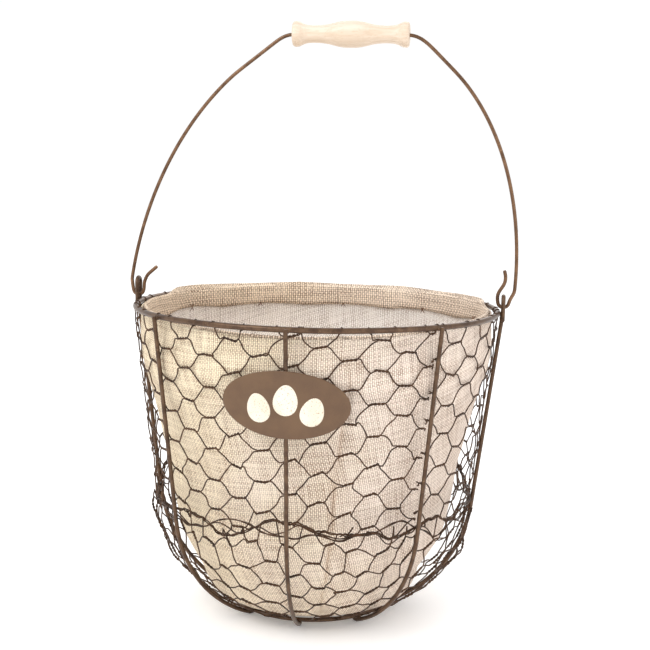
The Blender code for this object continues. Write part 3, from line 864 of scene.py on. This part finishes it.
def buildWall():
    profile = linerProfile()
    columns = liner["columns"]
    shape = bmesh.new()
    uvs = shape.loops.layers.uv.new("UVMap")
    lengths = [0.0]
    for first, second in zip(profile, profile[1:]):
        lengths.append(lengths[-1] + (second - first).length)
    loops = []
    for row in profile:
        loop = []
        for k in range(columns):
            angle = 360 * k / columns
            radius = row.x - foldDepth(angle, row.y) * min(1, (row.y - 0.008) / 0.03) - drawnIn(angle, row.y)
            height = tipped(angle, row.y, liner["tip"]) - 0.30 * drawnIn(angle, row.y)
            loop.append(shape.verts.new(around(angle, radius + lip(angle, height), height)))
        loops.append(loop)
    skin(shape, loops)
    rowOf = {vert: i for i, loop in enumerate(loops) for vert in loop}
    for face in shape.faces:                        # laid flat as a cone's cloth is cut
        centre = (ringAngle(face.calc_center_median()) - liner["grain"]) % 360
        for corner in face.loops:
            i = rowOf[corner.vert]
            angle = (ringAngle(corner.vert.co) - liner["grain"]) % 360
            if angle - centre > 180:
                angle -= 360
            elif centre - angle > 180:
                angle += 360
            if centre > 180:
                angle -= 360
            turned = radians(angle) * sin(cage["lean"])
            far = profile[i].x / sin(cage["lean"])
            corner[uvs].uv = (far * sin(turned), lengths[i] - far * (1 - cos(turned)))
    faceOut(shape)
    wall = addPiece("linerWall", shape, wallLook, "basket", "burlap", "liner_wall")
    thick = thicken(wall)
    wall.data.materials.append(litInsideLook)          # painted light: a lighter copy of the burlap on the inner side, for light coming through the thin cloth
    thick.material_offset = 1
    return wall


def buildBase():
    shape = bmesh.new()
    uvs = shape.loops.layers.uv.new("UVMap")
    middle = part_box("liner_base")[0].z + liner["cloth"] / 2 + 0.0001
    bmesh.ops.create_cone(shape, cap_ends=True, cap_tris=False, segments=liner["columns"] // 2,
                          radius1=liner["floor"], radius2=liner["floor"], depth=liner["cloth"],
                          matrix=Matrix.Translation((0, 0, middle)))
    for face in shape.faces:
        for corner in face.loops:
            corner[uvs].uv = (corner.vert.co.x, corner.vert.co.y)
    return addPiece("linerBase", shape, wallLook, "basket", "burlap", "liner_base")


def hemSpot(k, inset, share):                       # share is 0 at the hem's lower edge and 1 at its top
    angle = 360 * k / liner["columns"]
    scallop = 0.0022 * abs(sin(radians(angle * 5.5 + 20))) * (1 - share)
    height = linerTop - liner["hem"] * (1 - share) + scallop
    pull = drawnIn(angle, height)
    height -= 0.30 * pull
    puff = 0.0005 * wander(64, k * 0.35, share * 2) - 0.0006 * (inset > 0.001) * wander(65, k * 0.11)
    height = tipped(angle, height, liner["tip"])
    return around(angle, band - inset + puff - pull + lip(angle, height), height)


def buildHem():                                     # one strip, folded over the mouth and open below
    shape = bmesh.new()
    uvs = shape.loops.layers.uv.new("UVMap")
    outline = [(0.0000, 0.0), (0.0004, 0.30), (0.0003, 0.60), (0.0002, 0.80), (0.0001, 0.87), (0.0001, 0.94),
               (0.0002, 0.99), (0.0007, 1.03), (0.0014, 1.04), (0.0022, 1.02), (0.0027, 0.96), (0.0028, 0.88),
               (0.0026, 0.72), (0.0026, 0.45), (0.0024, 0.18), (0.0020, 0.03)]
    skin(shape, [[shape.verts.new(hemSpot(k, inset, share)) for k in range(liner["columns"])]
                 for inset, share in outline])
    for face in shape.faces:
        centre = ringAngle(face.calc_center_median())
        for corner in face.loops:
            spot = corner.vert.co
            angle = ringAngle(spot)
            angle += 360 if centre - angle > 180 else (-360 if angle - centre > 180 else 0)
            inner = hypot(spot.x, spot.y) < band - 0.0013
            corner[uvs].uv = (radians(angle) * band, spot.z if inner else 2 * linerTop - spot.z)
    faceOut(shape)
    hem = addPiece("linerHem", shape, hemLook, "basket", "burlap_hem", "liner_hem")
    thicken(hem)
    return hem


def buildStitches():                                # small crossed tacks
    stitches = []
    for k in range(liner["tacks"]):
        angle = 360 * k / liner["tacks"] + 14 + 2 * wander(66, k)
        height = tipped(angle, linerTop - liner["hem"] + 0.002, liner["tip"])
        for lean in (-1, 1):
            line = []
            for step in range(7):
                share = step / 6 - 0.5
                line.append(around(angle + lean * share * 1.7, band - 0.0031 - 0.0007 * cos(share * pi),
                                   height + share * 0.0055))
            stitches.append(line)
    addWires("hemStitches", stitches, liner["thread"], threadLook, "basket", "burlap_hem", roundness=1)


def declareLiner():                  # works out twice the mean radius and the length of each step of the wall's outline, and keeps none of it
    profile = linerProfile()
    runs = [(first.x + second.x, (second - first).length) for first, second in zip(profile, profile[1:])]
    print("liner ready")


# ---- camera, lights and floor ----
studio = {"distance": 0.9092, "height": 0.3450, "turn": 8.19, "aim": 7.774, "dip": 7.63, "roll": 1.232,
          "lens": 64.77, "sky": 1.02, "floorGlow": 0.16,
          "lamps": (("key", (-0.9, -1.2, 1.5), 0.9, 15), ("fill", (1.5, -0.9, 0.7), 1.2, 5),
                    ("back", (0.2, 1.6, 1.4), 1.2, 9))}


def placeCamera():                                  # angles in degrees
    turn, aim, dip, roll = [radians(studio[key]) for key in ("turn", "aim", "dip", "roll")]
    right = Vector((cos(aim), sin(aim), 0))
    ahead = Vector((-sin(aim), cos(aim), 0))
    sight = ahead * cos(dip) - Vector((0, 0, sin(dip)))
    top = Vector((0, 0, cos(dip))) + ahead * sin(dip)
    lens = bpy.data.cameras.new("camera")
    lens.lens = studio["lens"]
    camera = bpy.data.objects.new("camera", lens)
    level, upright = right * cos(roll) + top * sin(roll), top * cos(roll) - right * sin(roll)
    turned = Matrix((level, upright, -sight)).transposed()
    spot = (studio["distance"] * sin(turn), -studio["distance"] * cos(turn), studio["height"])
    camera.matrix_world = Matrix.Translation(spot) @ turned.to_4x4()
    bpy.context.scene.collection.objects.link(camera)
    bpy.context.scene.camera = camera


def lightStudio():                                  # lamps: name, place, size, power in watts
    world = bpy.data.worlds.new("studio")
    world.use_nodes = True
    world.node_tree.nodes["Background"].inputs[0].default_value = (1.0, 1.0, 1.0, 1)
    world.node_tree.nodes["Background"].inputs[1].default_value = studio["sky"]
    bpy.context.scene.world = world
    for name, spot, size, power in studio["lamps"]:
        glow = bpy.data.lights.new(name, "AREA")
        glow.size, glow.energy = size, power
        lamp = bpy.data.objects.new(name, glow)
        lamp.location = spot
        lamp.rotation_mode = "QUATERNION"
        lamp.rotation_quaternion = (Vector((0, 0, 0.2)) - Vector(spot)).to_track_quat("-Z", "Y")
        bpy.context.scene.collection.objects.link(lamp)


def layFloor():
    shape = bmesh.new()
    bmesh.ops.create_grid(shape, x_segments=4, y_segments=4, size=6.0)
    mesh = bpy.data.meshes.new("floor")
    shape.to_mesh(mesh)
    shape.free()
    ground = bpy.data.objects.new("floor", mesh)
    look, shader, _ = newLook("paleFloor", Roughness=0.8)
    shader.inputs["Base Color"].default_value = (0.96, 0.96, 0.96, 1)
    shader.inputs["Emission Color"].default_value = (1, 1, 1, 1)
    shader.inputs["Emission Strength"].default_value = studio["floorGlow"]
    mesh.materials.append(look)
    bpy.context.scene.collection.objects.link(ground)
    bpy.context.scene.view_settings.view_transform = "Standard"
    print("studio ready")


placeCamera()
lightStudio()
layFloor()
buildFrame()
buildWelds()
buildEars()
buildBail()
buildGrip()
buildSideNetting()
buildBottomNetting()
buildLacing()
buildNettingEnds()
buildPlaque()
buildEggs()
linerWall, linerBase, linerHem = buildWall(), buildBase(), buildHem()
buildStitches()
declareLiner()
